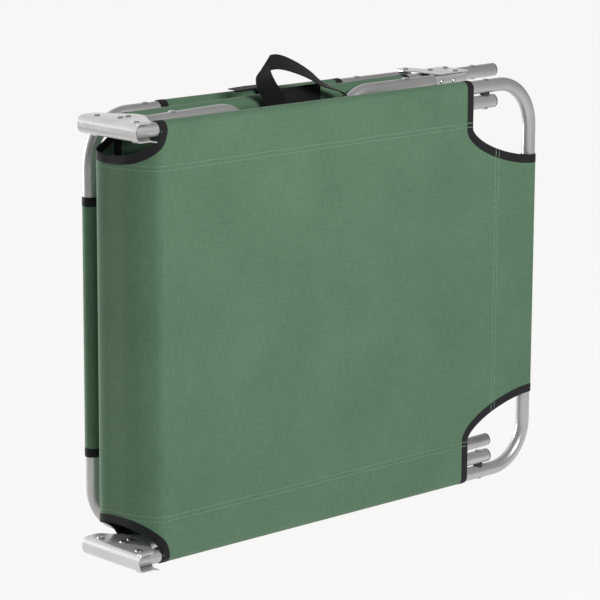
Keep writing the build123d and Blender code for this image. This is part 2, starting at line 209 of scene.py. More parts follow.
def threads(nodes, links, coordinates, pitch, direction):
    """One set of parallel threads as a wave, from flat cloth coordinates in metres."""
    wave = add_node(nodes, "ShaderNodeTexWave", Scale=math.pi / 10 / pitch, Distortion=0.0)
    wave.bands_direction = direction
    links.new(coordinates, wave.inputs["Vector"])
    return wave.outputs["Fac"]


def stretched(nodes, links, coordinates, scale):
    """Coordinates scaled differently along each axis."""
    mapping = nodes.new("ShaderNodeMapping")
    mapping.inputs["Scale"].default_value = scale
    links.new(coordinates, mapping.inputs["Vector"])
    return mapping.outputs["Vector"]


def maths(nodes, links, operation, a, b):
    node = nodes.new("ShaderNodeMath")
    node.operation = operation
    for socket, value in zip(node.inputs, (a, b)):
        if isinstance(value, (int, float)):
            socket.default_value = value
        else:
            links.new(value, socket)
    return node.outputs["Value"]


def weighted(nodes, links, a, weight_a, b, weight_b):
    """Two values, each times its weight, added."""
    return maths(nodes, links, "ADD", maths(nodes, links, "MULTIPLY", a, weight_a),
                 maths(nodes, links, "MULTIPLY", b, weight_b))


def bump(nodes, links, shader, height, strength, distance):
    node = add_node(nodes, "ShaderNodeBump", Strength=strength, Distance=distance)
    links.new(height, node.inputs["Height"])
    links.new(node.outputs["Normal"], shader.inputs["Normal"])


def cloth_material():
    """Green plain-weave polyester with uneven yarns; it reads the flat cloth's own coordinates."""
    material, nodes, links, shader = new_material("green_weave")
    flat = flat_coordinates(nodes)
    warp = threads(nodes, links, flat, YARN, "X")
    weft = threads(nodes, links, flat, YARN, "Y")
    weave = maths(nodes, links, "MULTIPLY", warp, weft)
    slub_x, slub_y = (
        noise_value(nodes, links, stretched(nodes, links, flat, scale), Scale=1.0, Detail=4.0, Roughness=0.7)
        for scale in ((900, 45, 1), (45, 900, 1)))
    slubs = weighted(nodes, links, slub_x, 0.5, slub_y, 0.5)
    cloudy = noise_value(nodes, links, flat, Scale=9.0, Detail=2.0)
    shade = weighted(nodes, links, slubs, 0.8, cloudy, 0.2)
    shade = maths(nodes, links, "ADD", shade, maths(nodes, links, "MULTIPLY", weave, 0.06))
    colour = ramp(nodes, links, shade, [(0.36, GREEN_DARK), (0.52, GREEN), (0.70, GREEN_LIGHT)])
    links.new(colour, shader.inputs["Base Color"])
    set_inputs(shader, Roughness=0.82, Specular_IOR_Level=0.25, Sheen_Weight=0.12, Sheen_Roughness=0.45)
    height = maths(nodes, links, "ADD", weave, maths(nodes, links, "MULTIPLY", slubs, 1.2))
    bump(nodes, links, shader, height, 0.35, 0.3 * MM)
    return material


def ribbed_material(name, colour, light, rib, roughness):
    """Black woven tape or webbing with ribs across its length."""
    material, nodes, links, shader = new_material(name)
    flat = flat_coordinates(nodes)
    ribs = threads(nodes, links, flat, rib, "X")
    yarns = threads(nodes, links, flat, rib * 0.8, "Y")
    woven = maths(nodes, links, "MULTIPLY", ribs, yarns)
    fuzz = noise_value(nodes, links, flat, Scale=700.0, Detail=3.0)
    shade = weighted(nodes, links, woven, 0.5, fuzz, 0.5)
    links.new(ramp(nodes, links, shade, [(0.2, colour), (0.75, light)]), shader.inputs["Base Color"])
    set_inputs(shader, Roughness=roughness, Specular_IOR_Level=0.22, Sheen_Weight=0.05)
    bump(nodes, links, shader, woven, 0.6, 0.25 * MM)
    return material


def thread_material():
    """Pale green sewing thread, twisted."""
    material, nodes, links, shader = new_material("pale_thread")
    twist = noise_value(nodes, links, object_coordinates(nodes), Scale=900.0, Detail=2.0)
    links.new(ramp(nodes, links, twist, [(0.3, THREAD_DARK), (0.7, THREAD)]), shader.inputs["Base Color"])
    set_inputs(shader, Roughness=0.6)
    return material


def metal_material(name, dark, light, metallic, roughness, grain):
    """Coated or plated steel: a fine grain and faint clouding, in colour and in gloss."""
    material, nodes, links, shader = new_material(name)
    where = object_coordinates(nodes)
    fine = noise_value(nodes, links, where, Scale=grain, Detail=4.0, Roughness=0.7)
    cloudy = noise_value(nodes, links, where, Scale=22.0, Detail=3.0)
    shade = weighted(nodes, links, fine, 0.55, cloudy, 0.45)
    links.new(ramp(nodes, links, shade, [(0.35, dark), (0.65, light)]), shader.inputs["Base Color"])
    set_inputs(shader, Metallic=metallic)
    rough = add_node(nodes, "ShaderNodeMapRange", From_Min=0.3, From_Max=0.7,
                     To_Min=roughness + GLOSS_CHANGE, To_Max=roughness - GLOSS_CHANGE)
    links.new(shade, rough.inputs["Value"])
    links.new(rough.outputs["Result"], shader.inputs["Roughness"])
    bump(nodes, links, shader, fine, 0.05, 0.1 * MM)
    return material


def plastic_material():
    """Black moulded plastic with a fine spark-eroded texture."""
    material, nodes, links, shader = new_material("black_plastic_moulded")
    fine = noise_value(nodes, links, object_coordinates(nodes), Scale=1500.0, Detail=3.0)
    colour = ramp(nodes, links, fine, [(0.3, grey(0.012)), (0.7, grey(0.022))])
    links.new(colour, shader.inputs["Base Color"])
    set_inputs(shader, Roughness=0.45)
    bump(nodes, links, shader, fine, 0.2, 0.1 * MM)
    return material


CLOTH_MAT = cloth_material()
TAPE_MAT = ribbed_material("black_edge_tape", (0.006, 0.006, 0.008), (0.018, 0.017, 0.021),
                           rib=0.9 * MM, roughness=0.75)
WEB_MAT = ribbed_material("black_webbing_weave", (0.004, 0.004, 0.005), (0.014, 0.014, 0.016),
                          rib=1.6 * MM, roughness=0.65)
THREAD_MAT = thread_material()
TUBE_MAT = metal_material("silver_tube_coat", (0.42, 0.41, 0.41), (0.54, 0.53, 0.53),
                          metallic=0.60, roughness=0.34, grain=1100)
BRACKET_MAT = metal_material("zinc_bracket", (0.58, 0.57, 0.57), (0.72, 0.71, 0.71),
                             metallic=0.60, roughness=0.26, grain=1100)
RIVET_MAT = metal_material("bright_rivet", grey(0.62), grey(0.78), metallic=0.95, roughness=0.25, grain=900)
PLASTIC_MAT = plastic_material()


# ---------------------------------------------------------------- mesh helpers
SHARP_ANGLE = 50                   # degrees; edges that turn more are shaded as sharp


def to_row(point):
    """A point of the design frame as a point of the row frame."""
    return Vector((point[0] + ORIGIN.x, point[1] + ORIGIN.y, point[2] + ORIGIN.z))


def make_piece(name, points, faces, flat, material, thickness=0.0):
    """A mesh piece from design-frame points. flat holds each point's place on the cut cloth."""
    mesh = bpy.data.meshes.new(name)
    mesh.from_pydata([to_row(p) for p in points], [], faces)
    layer = mesh.uv_layers.new(name="flat")
    for loop in mesh.loops:
        layer.data[loop.index].uv = flat[loop.vertex_index]
    mesh.polygons.foreach_set("use_smooth", [True] * len(mesh.polygons))
    mesh.materials.append(material)
    piece = bpy.data.objects.new(name, mesh)
    bpy.context.scene.collection.objects.link(piece)
    if thickness:
        solidify = piece.modifiers.new("thickness", "SOLIDIFY")
        solidify.thickness = thickness
        solidify.offset = 0.0
        apply_modifiers(piece)
    return piece


def apply_modifiers(piece):
    """The piece keeps its modified mesh and no modifiers."""
    depsgraph = bpy.context.evaluated_depsgraph_get()
    mesh = bpy.data.meshes.new_from_object(piece.evaluated_get(depsgraph))
    piece.modifiers.clear()
    piece.data = mesh
    mesh.set_sharp_from_angle(angle=math.radians(SHARP_ANGLE))


def grid_faces(rows, columns):
    """Quads of a full grid stored row by row."""
    faces = []
    for i in range(rows - 1):
        for j in range(columns - 1):
            a = i * columns + j
            faces.append((a, a + 1, a + columns + 1, a + columns))
    return faces


def spread(start, end, step):
    """Evenly spaced values from start to end, at most about a step apart."""
    count = max(1, math.ceil(abs(end - start) / step))
    return [start + (end - start) * i / count for i in range(count + 1)]


# ---------------------------------------------------------------- cloth in the flat and round the tubes
# Along a sleeve the cloth runs flat to the tube, three quarters round it, then turns
# onto the back of the panel. "across" is the distance along the cloth from the panel.
WRAP_R = (LAYER + FLAP_LAYER) / 2
ARC = 1.5 * math.pi * WRAP_R
DROP = LAYER - FLAP_TURN - CLOTH
TURN = FLAP_TURN * math.pi / 2


def round_tube(past):
    """Where the cloth lies past a tube's centre line: (beyond the centre line, depth behind it).
    Depth is negative on the panel's own side."""
    if past <= 0:
        return past, -LAYER
    if past < ARC:
        angle = past / WRAP_R
        radius = LAYER + (FLAP_LAYER - LAYER) * past / ARC
        return radius * math.sin(angle), -radius * math.cos(angle)
    past -= ARC
    if past < DROP:
        return -FLAP_LAYER, -past
    past -= DROP
    corner = -FLAP_LAYER - FLAP_TURN
    if past < TURN:
        angle = past / FLAP_TURN
        return corner + FLAP_TURN * math.cos(angle), -DROP - FLAP_TURN * math.sin(angle)
    return corner - (past - TURN), -DROP - FLAP_TURN


def flap_length(tube, seam):
    """Cloth from a tube's centre line, round it and back to the seam."""
    return ARC + DROP + TURN + (tube - FLAP_LAYER - FLAP_TURN - seam)


def notch_curve(share):
    """A corner notch's curve from (0, 1) to (1, 0), in shares of its two sides."""
    return (1 - share ** NOTCH_POWER) ** (1 / NOTCH_POWER)


def end_notch(z, sleeve_end, end):
    """Furthest X of the panel at a height z beside an end tube at X = end."""
    if abs(z) >= NOTCH_Z:
        return sleeve_end
    if abs(z) <= END_SLEEVE_Z:
        return end
    return end - (end - sleeve_end) * notch_curve((NOTCH_Z - abs(z)) / NOTCH_HIGH)


def smooth(share):
    """A soft step from 0 to 1."""
    share = min(1.0, max(0.0, share))
    return share * share * (3 - 2 * share)


def gathers(a, s):
    """Small folds that fan out from the front cover's pulled corners, and one crease."""
    run, rise = a - GATHER_A, abs(s) - GATHER_S
    distance = math.hypot(run, rise) / GATHER_REACH
    fan = math.cos(GATHER_FOLDS * math.atan2(rise, run))
    height = GATHER_HIGH * (1 + fan) * distance * math.exp(1 - distance ** 2)
    height *= smooth((FRONT_SLEEVE[1] - TAPE_W - a) / (8 * MM))
    along, across = (a - CREASE_A) / CREASE_REACH[0], (s - CREASE_S) / CREASE_REACH[1]
    height += CREASE_HIGH * math.exp(-along ** 2 - across ** 2)
    return height * smooth((RAIL_Z - 8 * MM - abs(s)) / (14 * MM))


def relief(a, s, seed):
    """Gentle unevenness of stretched cloth, fading out at the sleeves."""
    fade = smooth((SEAM_Z - abs(s)) / (25 * MM)) * smooth((FRONT_END - 80 * MM - a) / (40 * MM))
    broad = noise.noise((a * 5, s * 3, seed))
    fine = noise.noise((a * 26, s * 17, seed + 7))
    return fade * (BROAD_RELIEF * broad + FINE_RELIEF * fine)


class Section:
    """How one section's flat cloth lies in the design frame. a runs along the rails and on
    round the end tube; s runs across, from the middle line and on round the rails. side is
    +1 or -1, the way along Y from the rails to the panel."""

    def __init__(self, place, side, has_end_tube, seed, has_gathers=False):
        self.place = place
        self.side = side
        self.has_end_tube = has_end_tube
        self.seed = seed
        self.has_gathers = has_gathers

    def surface(self, a, s, lift=0.0):
        """The point lifted off the cloth's outer face."""
        along = self.has_end_tube and a > FRONT_END
        wrapped, tube = (a, FRONT_END) if along else (s, RAIL_Z)
        beyond, depth = round_tube(abs(wrapped) - tube)
        ahead, depth_ahead = round_tube(abs(wrapped) - tube + FACING_STEP)
        direction = Vector((ahead - beyond, depth_ahead - depth)).normalized()
        place = math.copysign(tube + beyond + lift * direction.y, wrapped)
        depth -= lift * direction.x
        if not along and abs(s) < SEAM_Z:
            depth -= relief(a, s, self.seed)
        if self.has_gathers and abs(s) < RAIL_Z and a < FRONT_END:
            depth -= gathers(a, s)
        x, z = (place, s) if along else (a, place)
        return self.place(x, -self.side * depth, z)


def front_place(x, y, z):
    return Vector((x, y, z))


def middle_place(x, y, z):
    turned_x = x * math.cos(SPLAY) - y * math.sin(SPLAY)
    turned_y = x * math.sin(SPLAY) + y * math.cos(SPLAY)
    return Vector((turned_x, MIDDLE_Y + turned_y, z))


def from_rear(x):
    """The rear section is drawn like the front one and mirrored along X. This takes an X of
    either drawing to the other."""
    return REAR_END + FRONT_END - x


def rear_place(x, y, z):
    return Vector((from_rear(x), REAR_PIVOT.y + y, z))


REAR_ENDS = (from_rear(REAR_SLEEVE[1]), from_rear(REAR_SLEEVE[0]))
FRONT = Section(front_place, side=-1, has_end_tube=True, seed=1.3, has_gathers=True)
MIDDLE = Section(middle_place, side=1, has_end_tube=False, seed=4.1)
REAR = Section(rear_place, side=-1, has_end_tube=True, seed=8.6)


class Bridge:
    """Cloth that follows a path in plan from one section to the next. The notches at its
    sides start and end these distances from the path's two ends."""

    def __init__(self, corners, notch_start, notch_end):
        self.line, self.along = smooth_path(corners)
        self.length = self.along[-1]
        self.centre = (notch_start + self.length - notch_end) / 2
        self.half_width = (self.length - notch_end - notch_start) / 2

    def plan(self, a):
        """Point and outward normal in plan at a distance along the path."""
        x, y = (np.interp(a, self.along, self.line[:, k]) for k in (0, 1))
        ends = (max(a - SLOPE_STEP, 0), min(a + SLOPE_STEP, self.length))
        run = [np.diff(np.interp(ends, self.along, self.line[:, k]))[0] for k in (0, 1)]
        size = math.hypot(*run)
        return Vector((x, y)), Vector((-run[1] / size, run[0] / size))

    def surface(self, a, s, lift=0.0):
        point, normal = self.plan(min(max(a, 0), self.length))
        point = point + normal * lift
        return Vector((point.x, point.y, s))

    def notch(self):
        """The cut edge on one side, from one sleeve to the other."""
        angles = [math.pi * i / NOTCH_STEPS for i in range(NOTCH_STEPS + 1)]
        return [(self.centre - self.half_width * math.cos(t), RAIL_Z - NOTCH_DEPTH * math.sin(t))
                for t in angles]

    def edge(self, a):
        """Half width of the cloth at a distance along the path."""
        share = min(1.0, abs(a - self.centre) / self.half_width)
        return RAIL_Z - NOTCH_DEPTH * math.sqrt(1 - share * share)


def catmull_rom(p0, p1, p2, p3, t):
    """A point on the smooth curve from p1 (t = 0) to p2 (t = 1)."""
    return 0.5 * (2 * p1 + (p2 - p0) * t + (2 * p0 - 5 * p1 + 4 * p2 - p3) * t ** 2
                  + (3 * p1 - p0 - 3 * p2 + p3) * t ** 3)


def smooth_path(corners):
    """A smooth curve through plan points, and the distance along it."""
    points = [Vector(c) for c in corners]
    points = [2 * points[0] - points[1]] + points + [2 * points[-1] - points[-2]]
    line = []
    for four in zip(points, points[1:], points[2:], points[3:]):
        line += [catmull_rom(*four, k / PATH_STEPS) for k in range(PATH_STEPS)]
    line.append(points[-2])
    line = np.array(line)
    runs = np.linalg.norm(np.diff(line, axis=0), axis=1)
    return line, np.concatenate([[0], np.cumsum(runs)])


def flat_area(flat, faces):
    """Area of the cut cloth."""
    total = 0.0
    for face in faces:
        corners = [flat[i] for i in face]
        for (x1, y1), (x2, y2) in zip(corners, corners[1:] + corners[:1]):
            total += (x1 * y2 - x2 * y1) / 2
    return abs(total)


def declare_sheet(piece, flat, faces, rests_on):
    """Works out the cut size and area of a cloth piece from its flat outline, and uses neither."""
    size = [max(p[k] for p in flat) - min(p[k] for p in flat) for k in (0, 1)]
    area = min(flat_area(flat, faces), size[0] * size[1])


# ---------------------------------------------------------------- the three covers
def across_rows(with_notch):
    """Rows across a cover: even on the panel, close along a notch and round the rails."""
    total = RAIL_Z + flap_length(RAIL_Z, SEAM_Z)
    half = spread(0, END_SLEEVE_Z, STEP)
    if with_notch:
        half += [NOTCH_Z - NOTCH_HIGH * math.sin(math.pi / 2 * i / NOTCH_ROWS)
                 for i in range(NOTCH_ROWS - 1, -1, -1)]
    else:
        half += spread(END_SLEEVE_Z, NOTCH_Z, STEP)[1:]
    half += spread(NOTCH_Z, RAIL_Z, STEP)[1:]
    bend_end = RAIL_Z + ARC + DROP + TURN
    half += spread(RAIL_Z, bend_end, BEND_STEP)[1:]
    half += spread(bend_end, total, STEP)[1:]
    return [-s for s in reversed(half[1:])] + half


def row_end(section, s, sleeve_end):
    """Where a row across the cover ends along the rails."""
    if not section.has_end_tube:
        return sleeve_end
    beyond, _ = round_tube(abs(s) - RAIL_Z)
    return end_notch(RAIL_Z + beyond, sleeve_end, FRONT_END)


def sleeve_start(s, start, panel_start):
    """The sleeve's end at a row; its sewn-back layer stays clear of the bending cloth."""
    return start if abs(s) < RAIL_Z + ARC else start + 1.5 * (panel_start - start)


def build_cover(name, section, start, panel_start, sleeve_end):
    """A section's cloth: the panel, both rail sleeves and the end tube's sleeve."""
    rows = across_rows(section.has_end_tube)
    columns = math.ceil((sleeve_end - start) / STEP)
    points, flat, index = [], [], {}

    def add(i, j, a, s):
        index[i, j] = len(points)
        points.append(section.surface(a, s))
        flat.append((a, s))

    for i, s in enumerate(rows):
        first = panel_start if abs(s) < RAIL_Z else sleeve_start(s, start, panel_start)
        end = row_end(section, s, sleeve_end)
        for j in range(columns + 1):
            add(i, j, first + (end - first) * j / columns, s)
    if section.has_end_tube:
        bend_end = FRONT_END + ARC + DROP + TURN
        tab = spread(FRONT_END, bend_end, BEND_STEP)[1:]
        tab += spread(bend_end, FRONT_END + flap_length(FRONT_END, END_SEAM_X), STEP)[1:]
        for i, s in enumerate(rows):
            if abs(s) < END_SLEEVE_Z + NUDGE:
                for j, a in enumerate(tab):
                    add(i, columns + 1 + j, a, s)
    faces = [(index[i, j], index[i, j + 1], index[i + 1, j + 1], index[i + 1, j])
             for i, j in index if {(i, j + 1), (i + 1, j), (i + 1, j + 1)} <= index.keys()]
    piece = make_piece(name, points, faces, flat, CLOTH_MAT, CLOTH)
    return piece, flat, faces


def build_bridge(name, bridge, start, end):
    """The cloth of a bridge between two distances along its path, notched at both rails."""
    columns = [start + (end - start) * i / BRIDGE_COLUMNS for i in range(BRIDGE_COLUMNS + 1)]
    points, flat, faces = [], [], grid_faces(BRIDGE_COLUMNS + 1, BRIDGE_ROWS + 1)
    for a in columns:
        edge = bridge.edge(a)
        for j in range(BRIDGE_ROWS + 1):
            s = edge * (2 * j / BRIDGE_ROWS - 1)
            points.append(bridge.surface(a, s))
            flat.append((a, s))
    return make_piece(name, points, faces, flat, CLOTH_MAT, CLOTH), flat, faces


# ---------------------------------------------------------------- tape and stitches
def empty_mesh():
    """The (points, flat, faces) of a piece, to be filled."""
    return [], [], []


def add_grid(mesh, points, flat, columns):
    """Adds a grid of points, stored row by row, to the (points, flat, faces) of a piece."""
    first = len(mesh[0])
    mesh[0].extend(points)
    mesh[1].extend(flat)
    mesh[2].extend(tuple(first + i for i in face) for face in grid_faces(len(points) // columns, columns))


# Across the tape, from its inner edge over the cut and back below: (share of its width from
# the cut, height off the cloth in mm).
TAPE_PROFILE = ((1.0, 0.5), (0.66, 0.56), (0.33, 0.56), (0.02, 0.5), (-0.05, 0.1),
                (0.02, -0.35), (0.5, -0.35), (0.9, -0.35))


def add_tape(mesh, surface, path, inward):
    """Tape folded over a cut edge. path is the edge in the flat; inward turns its
    direction (+1 or -1) towards the cloth."""
    run = 0.0
    points, flat = [], []
    for i, (a, s) in enumerate(path):
        before, after = path[max(i - 1, 0)], path[min(i + 1, len(path) - 1)]
        along = Vector((after[0] - before[0], after[1] - before[1])).normalized()
        into = Vector((-along.y, along.x)) * inward
        for share, lift in TAPE_PROFILE:
            across = share * TAPE_W
            points.append(surface(a + into.x * across, s + into.y * across, lift * MM))
            flat.append((run, across + lift * MM))
        if i + 1 < len(path):
            run += math.dist(path[i], path[i + 1])
    add_grid(mesh, points, flat, len(TAPE_PROFILE))


# Along and across a stitch: (share of its length, height in mm), (share of its half width,
# further height in mm).
STITCH_ALONG = ((-0.5, 0.1), (-0.3, 0.62), (0.3, 0.62), (0.5, 0.1))
STITCH_ACROSS = ((-1, -0.3), (0, 0.1), (1, -0.3))


def add_stitches(mesh, surface, start, end, length=STITCH_LENGTH, pitch=STITCH_PITCH, raised=0.0):
    """A row of stitches, raised off the cloth, between two points of the flat cloth."""
    start, end = Vector(start), Vector(end)
    count = max(1, int((end - start).length / pitch))
    along = (end - start).normalized()
    side = Vector((-along.y, along.x)) * STITCH_HALF_W
    for i in range(count):
        middle = start + (end - start) * (i + 0.5) / count
        points, flat = [], []
        for share, lift in STITCH_ALONG:
            centre = middle + along * length * share
            for across, extra in STITCH_ACROSS:
                place = centre + side * across
                points.append(surface(place.x, place.y, (lift + extra) * MM + raised))
                flat.append(tuple(place))
        add_grid(mesh, points, flat, len(STITCH_ACROSS))


def finish_piece(name, mesh, material, thickness=0.0):
    piece = make_piece(name, mesh[0], mesh[2], mesh[1], material, thickness)
    return piece


def arc_edge(sleeve_end):
    """The corner notch and the end tube's edge on one side, from the sleeve's end."""
    points = []
    for i in range(ARC_STEPS + 1):
        angle = math.pi / 2 * i / ARC_STEPS
        in_share, out_share = (f(angle) ** (2 / NOTCH_POWER) for f in (math.sin, math.cos))
        points.append((FRONT_END - (FRONT_END - sleeve_end) * out_share, NOTCH_Z - NOTCH_HIGH * in_share))
    last = FRONT_END + flap_length(FRONT_END, END_SEAM_X)
    points += [(a, END_SLEEVE_Z) for a in spread(FRONT_END, last, TAPE_STEP)[1:]]
    return points


def ring_edge(start, low_z, panel_start=None):
    """The cut end of a sleeve, from its sewn edge round the rail to the panel."""
    total = RAIL_Z + flap_length(RAIL_Z, SEAM_Z)
    return [(sleeve_start(s, start, panel_start or start), s) for s in spread(total, low_z, TAPE_STEP)]


def mirrored(path):
    return [(a, -s) for a, s in path]


def add_both_sides(mesh, surface, path, inward):
    add_tape(mesh, surface, path, inward)
    add_tape(mesh, surface, mirrored(path), -inward)


def end_section_tape(section, hinge_end, panel_start, sleeve_end):
    """Tape of an end section: the sleeve ends, the corner notches and the end tube's edges."""
    mesh = empty_mesh()
    add_both_sides(mesh, section.surface, ring_edge(hinge_end, RAIL_Z - TAPE_LAP, panel_start), 1)
    outer = ring_edge(sleeve_end, NOTCH_Z) + arc_edge(sleeve_end)[1:]
    add_both_sides(mesh, section.surface, outer, -1)
    return mesh


def middle_tape():
    """Tape of the middle section: its four sleeve ends."""
    mesh = empty_mesh()
    for end, inward in zip(MIDDLE_SLEEVE, (1, -1)):
        add_both_sides(mesh, MIDDLE.surface, ring_edge(end, RAIL_Z - TAPE_LAP), inward)
    return mesh


def bridge_tape(bridge, start, end):
    """Tape of both notches of a bridge, between two distances along its path."""
    mesh = empty_mesh()
    whole = bridge.notch()
    path = [place for place in whole if start < place[0] < end]
    if whole[0][0] < start:
        path.insert(0, (start, bridge.edge(start)))
    if whole[-1][0] > end:
        path.append((end, bridge.edge(end)))
    add_both_sides(mesh, bridge.surface, path, -1)
    return mesh


def bridge_stitches(bridge, start, end):
    """The sleeves' two rows of stitches, carried on across a bridge."""
    mesh = empty_mesh()
    for z in STITCH_Z:
        for side in (1, -1):
            add_stitches(mesh, bridge.surface, (start, side * z), (end, side * z))
    return mesh


def add_bar(mesh, surface, start, end):
    """One long stitch over the tape."""
    add_stitches(mesh, surface, start, end, length=0.8 * TAPE_W, pitch=TAPE_W, raised=TAPE_T)


def section_stitches(section, start, end):
    """Two rows along each rail sleeve, and two beside the end tube's sleeve. Each row ends
    in one long stitch over the tape."""
    mesh = empty_mesh()
    for z in STITCH_Z:
        for side in (1, -1):
            add_stitches(mesh, section.surface, (start, side * z), (end, side * z))
            add_bar(mesh, section.surface, (end - TAPE_W, side * z), (end + NUDGE, side * z))
    if section.has_end_tube:
        for a in (END_SEAM_X + inset for inset in END_STITCHES):
            top = NOTCH_Z - NOTCH_HIGH * notch_curve((FRONT_END - a) / (FRONT_END - end))
            add_stitches(mesh, section.surface, (a, -top), (a, top))
            for side in (1, -1):
                add_bar(mesh, section.surface, (a, side * (top - TAPE_W)), (a, side * (top + NUDGE)))
    return mesh


# ---------------------------------------------------------------- webbing
BAND_COLUMNS = 6                   # mesh columns across a band
BAND_STEPS = 8                     # mesh steps between two stations
SEWN_LIFT = 1.3                    # mm from a sleeve's face to the middle of webbing sewn to it


def ribbon_grid(mesh, stations):
    """A band through (centre, half width vector) stations, in mm."""
    centres = [Vector(c) * MM for c, _ in stations]
    halves = [Vector(w) * MM for _, w in stations]
    points, flat, run, last = [], [], 0.0, None
    for k in range((len(stations) - 1) * BAND_STEPS + 1):
        centre, half = curve_at(centres, k / BAND_STEPS), curve_at(halves, k / BAND_STEPS)
        run += (centre - last).length if last else 0.0
        last = centre
        for j in range(BAND_COLUMNS + 1):
            share = 2 * j / BAND_COLUMNS - 1
            points.append(centre + half * share)
            flat.append((run, half.length * share))
    add_grid(mesh, points, flat, BAND_COLUMNS + 1)


def curve_at(values, t):
    """A smooth curve through values, at t stations from the first."""
    i = min(int(t), len(values) - 2)
    p1, p2 = values[i], values[i + 1]
    p0 = values[i - 1] if i else 2 * p1 - p2
    p3 = values[i + 2] if i + 2 < len(values) else 2 * p2 - p1
    return catmull_rom(p0, p1, p2, p3, t - i)


def middle_face_y(x):
    """Y of the middle sleeve's underside at X, in mm."""
    return (MIDDLE_Y + x * MM * math.tan(SPLAY) - LAYER) / MM


# The carry handle's stations, from its end nearer the front hinge, up and over to the other.
HANDLE = [
    ((284, middle_face_y(284) - SEWN_LIFT, 256), (14, 0.7, 0)),
    ((284, middle_face_y(284) - 2.0, 260), (14, 0.0, 0)),
    ((282, 63, 264), (10.4, -8, 2.5)),
    ((276, 58, 273), (9.8, -8, 4)),
    ((261, 55, 289), (9.4, -6.5, 5.5)),
    ((253.5, 54, 303), (9.5, -3, 7.5)),
    ((257, 57, 315.5), (12, 2, 10)),
    ((271, 60, 318.5), (9.5, 6, 9)),
    ((290.5, 61, 317), (9.3, 8.4, 7)),
    ((316.6, 61, 308), (8.8, 9.4, 5.4)),
    ((340, 60, 296.4), (9.2, 9.9, 3.2)),
    ((358, 60, 285), (9.5, 10.2, 1)),
    ((374, 59, 277.6), (9.5, 10.2, -0.6)),
    ((390, 58, 271.8), (9.4, 10.1, -1.9)),
    ((404, 59, 264.5), (9.6, 9.9, -2.6)),
    ((414, 70, 259), (12, 6, -1.5)),
    ((421, middle_face_y(421) - SEWN_LIFT, 256), (14, 0.7, 0)),
]


STRAP_X = 315                      # mm; the strap crosses the sleeves here


def strap_stations():
    """The closing strap: a patch along the middle sleeve, a band over both sleeves and a
    short loose tail over the rear one."""
    patch = [((x, middle_face_y(x) - SEWN_LIFT, 268), (0, 0, 13)) for x in (378, 360, 340, 320, 300)]
    top = (RAIL_Z + LAYER) / MM + 1.1
    rear_y = (REAR_PIVOT.y + LAYER) / MM + 1.0
    face = middle_face_y(STRAP_X)
    over = [((STRAP_X, y, z), (14, twist, 0)) for y, z, twist in (
        (face - 2.6, 262, 0.7), (face - 2.4, 270, 0.7), (face + 2.5, top - 0.6, 0.7), (face + 12, top, 0.7),
        (face + 24, top - 1.2, 0.4), (rear_y - 10, top, 0), (rear_y - 2.6, top - 2.6, 0),
        (rear_y, top - 10, 0), (rear_y, top - 24, 0))]
    sleeve_y = REAR_PIVOT.y / MM
    tail = [((x, sleeve_y - drift, top + rise), (0, 11, 0)) for x, drift, rise in (
        (318, 2, 1.4), (300, 2, 1.5), (286, 1, 1.0), (272, 0, 0.2))]
    return patch, over, tail


# ---------------------------------------------------------------- build
def plan_point(place, x):
    point = place(x, LAYER, 0)
    return (point.x, point.y)


# The front strip's path in plan: off the front panel, round the hinge brackets and onto the
# middle panel.
FRONT_FACE = -9.95                 # mm; Y of the front panel's outer face
HINGE_PATH = [(x * MM, y * MM) for x, y in (
    (45, FRONT_FACE), (39, FRONT_FACE), (33, FRONT_FACE), (26.5, -6.5), (20, 2), (13, 15), (8, 30),
    (5.5, 44), (3.5, 56), (1.5, 66), (1.5, 74), (5, 80.5), (12, 84.2))]
HINGE_PATH += [plan_point(middle_place, x * MM) for x in (24, 31, 38, 45, 52)]
HINGE = Bridge(HINGE_PATH, HINGE_PATH[0][0] - FRONT_SLEEVE[0], STRIP_END)
HINGE_START = HINGE_PATH[0][0] - FLAT_START
HINGE_MIDDLE = 80 * MM             # where the strip is cut into its two halves
HINGE_END = HINGE.length - STRIP_END

# The rear fold's path: off the middle panel, round a tight tip and back onto the rear panel.
FOLD_TIP = REAR_PIVOT.y - LAYER - 4.3 * MM
FOLD_PATH = [plan_point(middle_place, x * MM) for x in (540, 547, 554, 562, 570, 578)]
FOLD_PATH += [(x * MM, FOLD_TIP + y * MM) for x, y in (
    (583.5, -3.8), (587, -2), (588.2, 0), (587, 2.3), (583, 4.1))]
FOLD_PATH += [(x * MM, REAR_PIVOT.y - LAYER) for x in (578, 566, 540, 500, 470, 458, 451, 444)]
FOLD = Bridge(FOLD_PATH, STRIP_END, STRIP_END)
FOLD_END = FOLD.length - STRIP_END


def blend_front(piece):
    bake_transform(piece)


def blend_middle(piece):
    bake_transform(piece)


def blend_rear(piece):
    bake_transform(piece)


# Cloth piece, name of its trim, path, start and end along the path, the function that bakes its transform,
# what holds it.
STRIPS = (
    ("hinge_strip_front", "strip_front", HINGE, HINGE_START, HINGE_MIDDLE, blend_front, "front_frame"),
    ("hinge_strip_middle", "strip_middle", HINGE, HINGE_MIDDLE, HINGE_END, blend_middle, "middle_rails"),
    ("rear_fold", "fold", FOLD, STRIP_END, FOLD_END, blend_rear, "middle_rails"),
)


